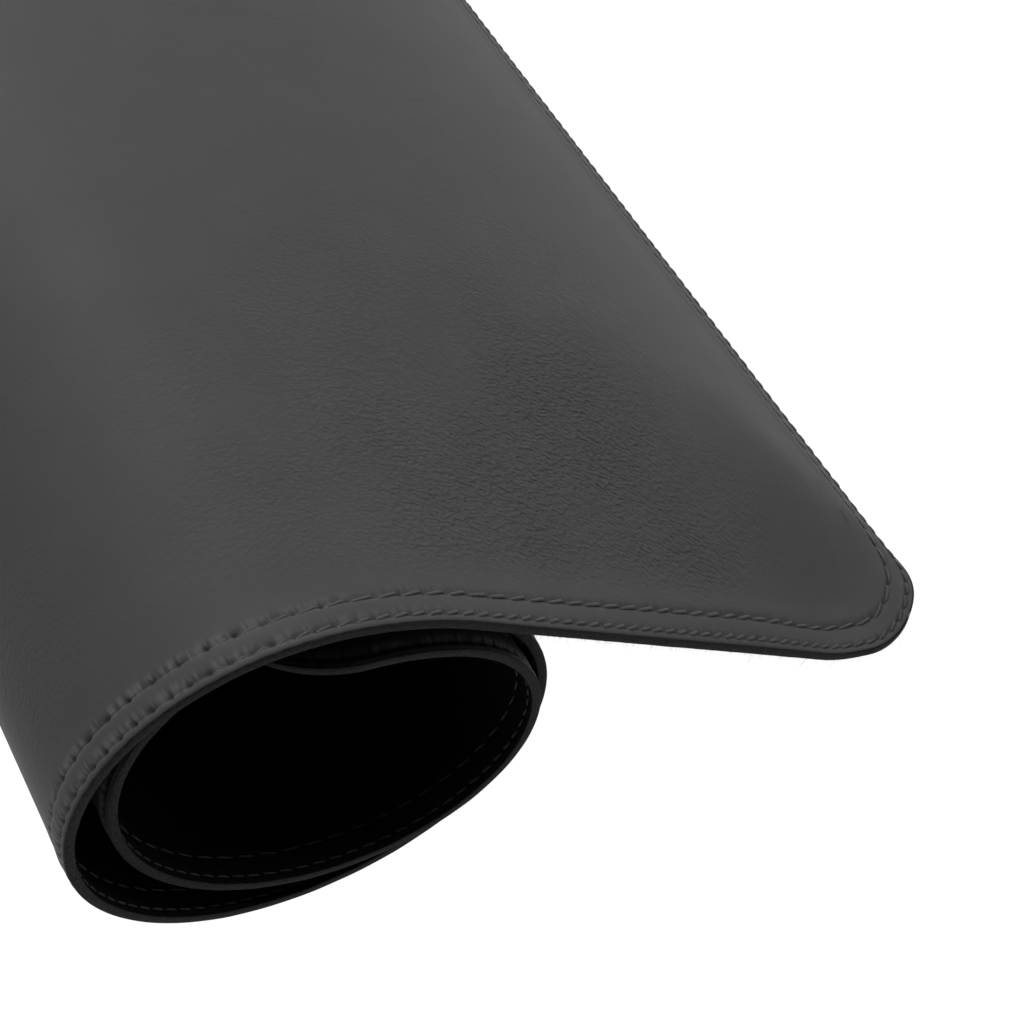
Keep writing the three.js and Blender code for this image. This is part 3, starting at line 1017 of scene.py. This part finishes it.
leather_finish, tree, shader = finish("grained_leather", LEATHER_LIGHT, 0.45, Specular_IOR_Level=0.02)
flat_place = add(tree, "ShaderNodeSeparateXYZ", Vector=flat_map(tree, (1, 1, 1)))
along_pad, across_pad = flat_place.outputs["X"], flat_place.outputs["Y"]
past = calculate(tree, "SUBTRACT", along_pad, SLANT_AT)
straight_lean, bent_lean = multiply(tree, along_pad, SLANT), multiply(tree, past, past, SLANT_CHANGE)
lean = calculate(tree, "SUBTRACT", straight_lean, bent_lean)
sheared = add(
    tree, "ShaderNodeCombineXYZ", X=multiply(tree, along_pad, 1 / WRINKLE_LENGTH),
    Y=multiply(tree, calculate(tree, "SUBTRACT", across_pad, lean), 1 / WRINKLE_WIDTH),
)
wobble = noise(tree, WOBBLE_SCALE, Detail=1.0)
shaken = add(tree, "ShaderNodeVectorMath", {"operation": "MULTIPLY_ADD"})
for socket, value in zip(shaken.inputs, (wobble.outputs["Color"], WOBBLE, sheared.outputs[0])):
    plug(tree, value, socket)
creases = add(tree, "ShaderNodeTexVoronoi", SOFT_CELLS, Vector=shaken.outputs[0], Scale=1.0, Smoothness=0.15)
print("wrinkles are about", round(WRINKLE_LENGTH / MM, 2), "by", round(WRINKLE_WIDTH / MM, 2), "mm")

# %% [markdown]
# A mask fades the wrinkles out towards the free end, the roll, the far side and the border, and lets them
# come and go in patches. Each fade says where along or across the pad it starts and ends, and how strong
# the wrinkles are at both places.

# %% Fade the wrinkles
FADE_TOE = (40 * MM, 85 * MM, 0.1, 1)
FADE_ROLL = (130 * MM, 210 * MM, 1, 0.15)
FADE_FAR = (50 * MM, 130 * MM, 1, 0.12)
FADE_BORDER = (9 * MM, 20 * MM, 0.1, 1)
PATCH_SCALE = (22, 22, 1)
PATCH_RANGE = (0.36, 0.6, 0.5, 1)

patches = noise(tree, PATCH_SCALE, Detail=2.0)
fades = [ramp_of(tree, along_pad, *fade) for fade in (FADE_TOE, FADE_ROLL)]
fades += [ramp_of(tree, across_pad, *fade) for fade in (FADE_FAR, FADE_BORDER)]
mask = multiply(tree, *fades, ramp_of(tree, patches.outputs["Fac"], *PATCH_RANGE))
wrinkle = multiply(tree, calculate(tree, "SUBTRACT", 1.0, creases.outputs["Distance"]), mask)
print("wrinkles fade out in", len(fades), "directions")

# %% [markdown]
# The marks that were kept on the mesh tell the shader where to paint shade into the pits and along the
# grooves of the seam, and where a darker line runs along the leather's rim beside the paint. Where the
# leather is gathered beside a row it shows fine folds with painted highlights, and the creases of the
# wrinkles get painted shade.

# %% Colour the leather
LEATHER_DARK = (0.0445, 0.0445, 0.045)
# A lighter tone, painted as highlights on the folds beside the rows.
FOLD_HIGHLIGHT_TONE = (0.085, 0.085, 0.086)
# A near-black tone, painted as shade into the pits, grooves and creases and as the rim line.
SHADE_AND_JOINT_TONE = (0.006, 0.006, 0.006)
MOTTLE_SCALE = (60, 60, 60)
FOLD_SCALE = (1000, 170, 1)
FOLD_RANGE = (0.42, 0.6, 0, 1)
# How much shade is painted into the creases of the wrinkles.
CREASE_SHADE_RANGE = (0.35, 0.7, 0, 0.14)
SHADE_AND_JOINT_RANGE = (0.1, 0.9, 0, 0.9)

mottle = noise(tree, MOTTLE_SCALE, Detail=5.0, Roughness=0.6)
hide = blend(tree, ramp_of(tree, mottle.outputs["Fac"], 0.3, 0.7, 0, 1), LEATHER_DARK, LEATHER_LIGHT)
shade_and_joint_mark = add(tree, "ShaderNodeAttribute", {"attribute_name": "shade_and_joint_mark"}).outputs["Fac"]
gathered = add(tree, "ShaderNodeAttribute", {"attribute_name": "gathered"}).outputs["Fac"]
folds = noise(tree, FOLD_SCALE, Detail=1.0).outputs["Fac"]
# Painted highlights on the folds where the leather is gathered.
fold_highlighted = blend(tree, multiply(tree, ramp_of(tree, folds, *FOLD_RANGE), gathered), hide, FOLD_HIGHLIGHT_TONE)
# Painted shade in the creases of the wrinkles.
crease_shade = multiply(tree, ramp_of(tree, creases.outputs["Distance"], *CREASE_SHADE_RANGE), mask)
# Where shade is painted into the pits and grooves, and the darker line along the rim.
shade_and_joint_share = ramp_of(tree, shade_and_joint_mark, *SHADE_AND_JOINT_RANGE)
# All painted shade and the rim line take the near-black tone.
tint(tree, shader, calculate(tree, "MAXIMUM", shade_and_joint_share, crease_shade), fold_highlighted, SHADE_AND_JOINT_TONE)
print("leather is coloured by", len(tree.nodes), "nodes so far")

# %% [markdown]
# Four layers of bump lie on top of each other. The pebble and the grain are everywhere, and the wrinkles
# and folds only where their masks let them show. Each has a height in metres and a strength.

# %% Emboss the leather
PEBBLE_SIZE = 0.8 * MM
GRAIN_SCALE = (2600, 2600, 1)
PEBBLE_BUMP = (0.05 * MM, 0.35)
GRAIN_BUMP = (0.04 * MM, 0.3)
WRINKLE_BUMP = (0.6 * MM, 1.0)
FOLD_BUMP = (0.4 * MM, 1.0)

pebble_map = flat_map(tree, (1 / PEBBLE_SIZE, 1 / PEBBLE_SIZE, 1))
pebble = add(tree, "ShaderNodeTexVoronoi", SOFT_CELLS, Vector=pebble_map, Scale=1.0)
grain = noise(tree, GRAIN_SCALE, Detail=2.0)
fold = multiply(tree, calculate(tree, "SUBTRACT", folds, 0.5), gathered)
relief_chain(tree, shader, [
    (pebble.outputs["Distance"], *PEBBLE_BUMP),
    (grain.outputs["Fac"], *GRAIN_BUMP),
    (wrinkle, *WRINKLE_BUMP),
    (fold, *FOLD_BUMP),
])
leather.data.materials.append(leather_finish)
print("leather finish has", len(tree.nodes), "nodes")

# %% [markdown]
# ## Felt, fibres and interlining
# Pressed felt is dull and black. The same recipe with a lighter tone serves the hidden interlining. The
# loose fibres have no flat map, so their specks are drawn in the object's own space.

# %% Finish the felt
FELT_TONES = ((0.0040, 0.0040, 0.0042), (0.0095, 0.0095, 0.0098))
INTERLINING_TONES = ((0.2, 0.19, 0.175), (0.29, 0.27, 0.25))
FIBRE_TONES = ((0.006, 0.006, 0.0062), (0.022, 0.022, 0.0225))
CLUMP_SCALE = (700, 700, 1)
STRAND_SCALE = (2400, 900, 1)
STRAND_TURN = 0.6
CLUMP_BUMP = (0.4 * MM, 0.6)
STRAND_BUMP = (0.2 * MM, 0.6)


def fibrous(name, dark, light):
    material, tree, shader = finish(name, light, 0.95, Specular_IOR_Level=0.0)
    clumps = noise(tree, CLUMP_SCALE, Detail=6.0, Roughness=0.7).outputs["Fac"]
    strands = noise(tree, STRAND_SCALE, STRAND_TURN, Detail=3.0, Distortion=1.2).outputs["Fac"]
    tint(tree, shader, ramp_of(tree, clumps, 0.3, 0.7, 0, 1), dark, light)
    relief_chain(tree, shader, [(clumps, *CLUMP_BUMP), (strands, *STRAND_BUMP)])
    return material


felt.data.materials.append(fibrous("pressed_felt", *FELT_TONES))
interlining.data.materials.append(fibrous("bonded_fibre", *INTERLINING_TONES))

fibre_finish, tree, shader = finish("loose_fibre", (0.016, 0.016, 0.0165), 0.85, Specular_IOR_Level=0.05)
own_space = add(tree, "ShaderNodeTexCoord").outputs["Object"]
specks = add(tree, "ShaderNodeTexNoise", Vector=own_space, Scale=900.0)
tint(tree, shader, ramp_of(tree, specks.outputs["Fac"], 0.35, 0.65, 0, 1), *FIBRE_TONES)
fibres.data.materials.append(fibre_finish)
print("felt, interlining and fibres are finished")

# %% [markdown]
# ## Edge paint
# The paint is a shade darker than the leather and a little rough, with specks where fibres of the cut
# edge show through.

# %% Finish the painted edge
COAT_TONES = ((0.006, 0.006, 0.0063), (0.028, 0.028, 0.0285))
SPECK_SCALE = (900, 1600, 1)
SPECK_BUMP = (0.4 * MM, 0.8)

coat_finish, tree, shader = finish("edge_paint", (0.026, 0.026, 0.0265), 0.6, Specular_IOR_Level=0.03)
speck = noise(tree, SPECK_SCALE, Detail=5.0, Roughness=0.7).outputs["Fac"]
tint(tree, shader, ramp_of(tree, speck, 0.35, 0.7, 0, 1), *COAT_TONES)
relief_chain(tree, shader, [(speck, *SPECK_BUMP)])
coat.data.materials.append(coat_finish)
print("painted edge is finished")

# %% [markdown]
# ## Thread
# Bonded thread is twisted from three strands. On the stitch's own map the strands are slanted bands,
# so a wave texture that runs across the map gives each stitch its twist.

# %% Finish the threads
NEEDLE_TONES = ((0.036, 0.036, 0.0365), (0.062, 0.062, 0.063))
BOBBIN_TONES = ((0.035, 0.035, 0.036), (0.07, 0.07, 0.072))
TWIST_SCALE = (3.2, 3.0, 1)
TWIST_BUMP = (0.12 * MM, 0.8)


def twisted(name, dark, light, roughness):
    material, tree, shader = finish(name, light, roughness, Specular_IOR_Level=0.2)
    bands = {"wave_type": "BANDS", "bands_direction": "DIAGONAL"}
    stitch_map = flat_map(tree, TWIST_SCALE)
    wave = add(tree, "ShaderNodeTexWave", bands, Vector=stitch_map, Scale=1.0, Distortion=0.4)
    strand = wave.outputs["Fac"]
    tint(tree, shader, strand, dark, light)
    relief_chain(tree, shader, [(strand, *TWIST_BUMP)])
    return material


needle_finish = twisted("needle_thread", *NEEDLE_TONES, 0.45)
bobbin_finish = twisted("bobbin_thread", *BOBBIN_TONES, 0.6)
for key, thread in threads.items():
    thread.data.materials.append(needle_finish if key.endswith("needle") else bobbin_finish)
print("threads finished:", ", ".join(threads))

# %% [markdown]
# ## Floor
# The photograph has a plain white ground without shadows, as on a light table, so the pale floor glows by
# itself and hardly takes on the light of the lamps. It is stage and no part of the pad.

# %% Lay the floor
FLOOR_SIZE = 8.0
FLOOR_LEVEL = -0.4 * MM
FLOOR_GLOW = 1.0

bpy.ops.object.select_all(action="DESELECT")
bpy.ops.mesh.primitive_plane_add(size=FLOOR_SIZE, location=(0, 0, FLOOR_LEVEL))
floor = bpy.context.object
floor.name = "floor"
floor_finish, tree, shader = finish(
    "pale_floor", (0.03, 0.03, 0.03), 0.9, Specular_IOR_Level=0.0,
    Emission_Color=(1, 1, 1, 1), Emission_Strength=FLOOR_GLOW,
)
floor.data.materials.append(floor_finish)
print("floor is", FLOOR_SIZE, "m wide")

# %% [markdown]
# ## Light
# The light on the leather comes softly from above, from both sides and from behind, because the sides of
# the stitches and of the seam that look towards the camera are the dark ones. How strong each panel is was
# fitted to the brightness of the leather.

# %% Set the light
SKY_STRENGTH = 0.05
AIM = Vector((0.0, 0.0, 0.05))
PANELS = {
    "right_panel": dict(place=(1.6, 0.0, 0.8), size=1.0, power=18.3),
    "left_panel": dict(place=(-1.0, 0.2, 1.3), size=1.0, power=12.1),
    "top_panel": dict(place=(0.0, 0.1, 1.6), size=1.2, power=11.3),
    "far_panel": dict(place=(0.05, 0.5, 0.6), size=0.5, power=5.4),
}

world = bpy.data.worlds.new("studio")
bpy.context.scene.world = world
world.use_nodes = True
sky = world.node_tree.nodes["Background"]
sky.inputs["Color"].default_value = (1, 1, 1, 1)
sky.inputs["Strength"].default_value = SKY_STRENGTH

for name, panel in PANELS.items():
    turn = (AIM - Vector(panel["place"])).to_track_quat("-Z", "Y").to_euler()
    bpy.ops.object.light_add(type="AREA", location=panel["place"], rotation=turn)
    lamp = bpy.context.object
    lamp.name = name
    lamp.data.size = panel["size"]
    lamp.data.energy = panel["power"]
    lamp.visible_camera = False
bpy.context.scene.view_settings.view_transform = "Standard"
print("lights:", ", ".join(PANELS))
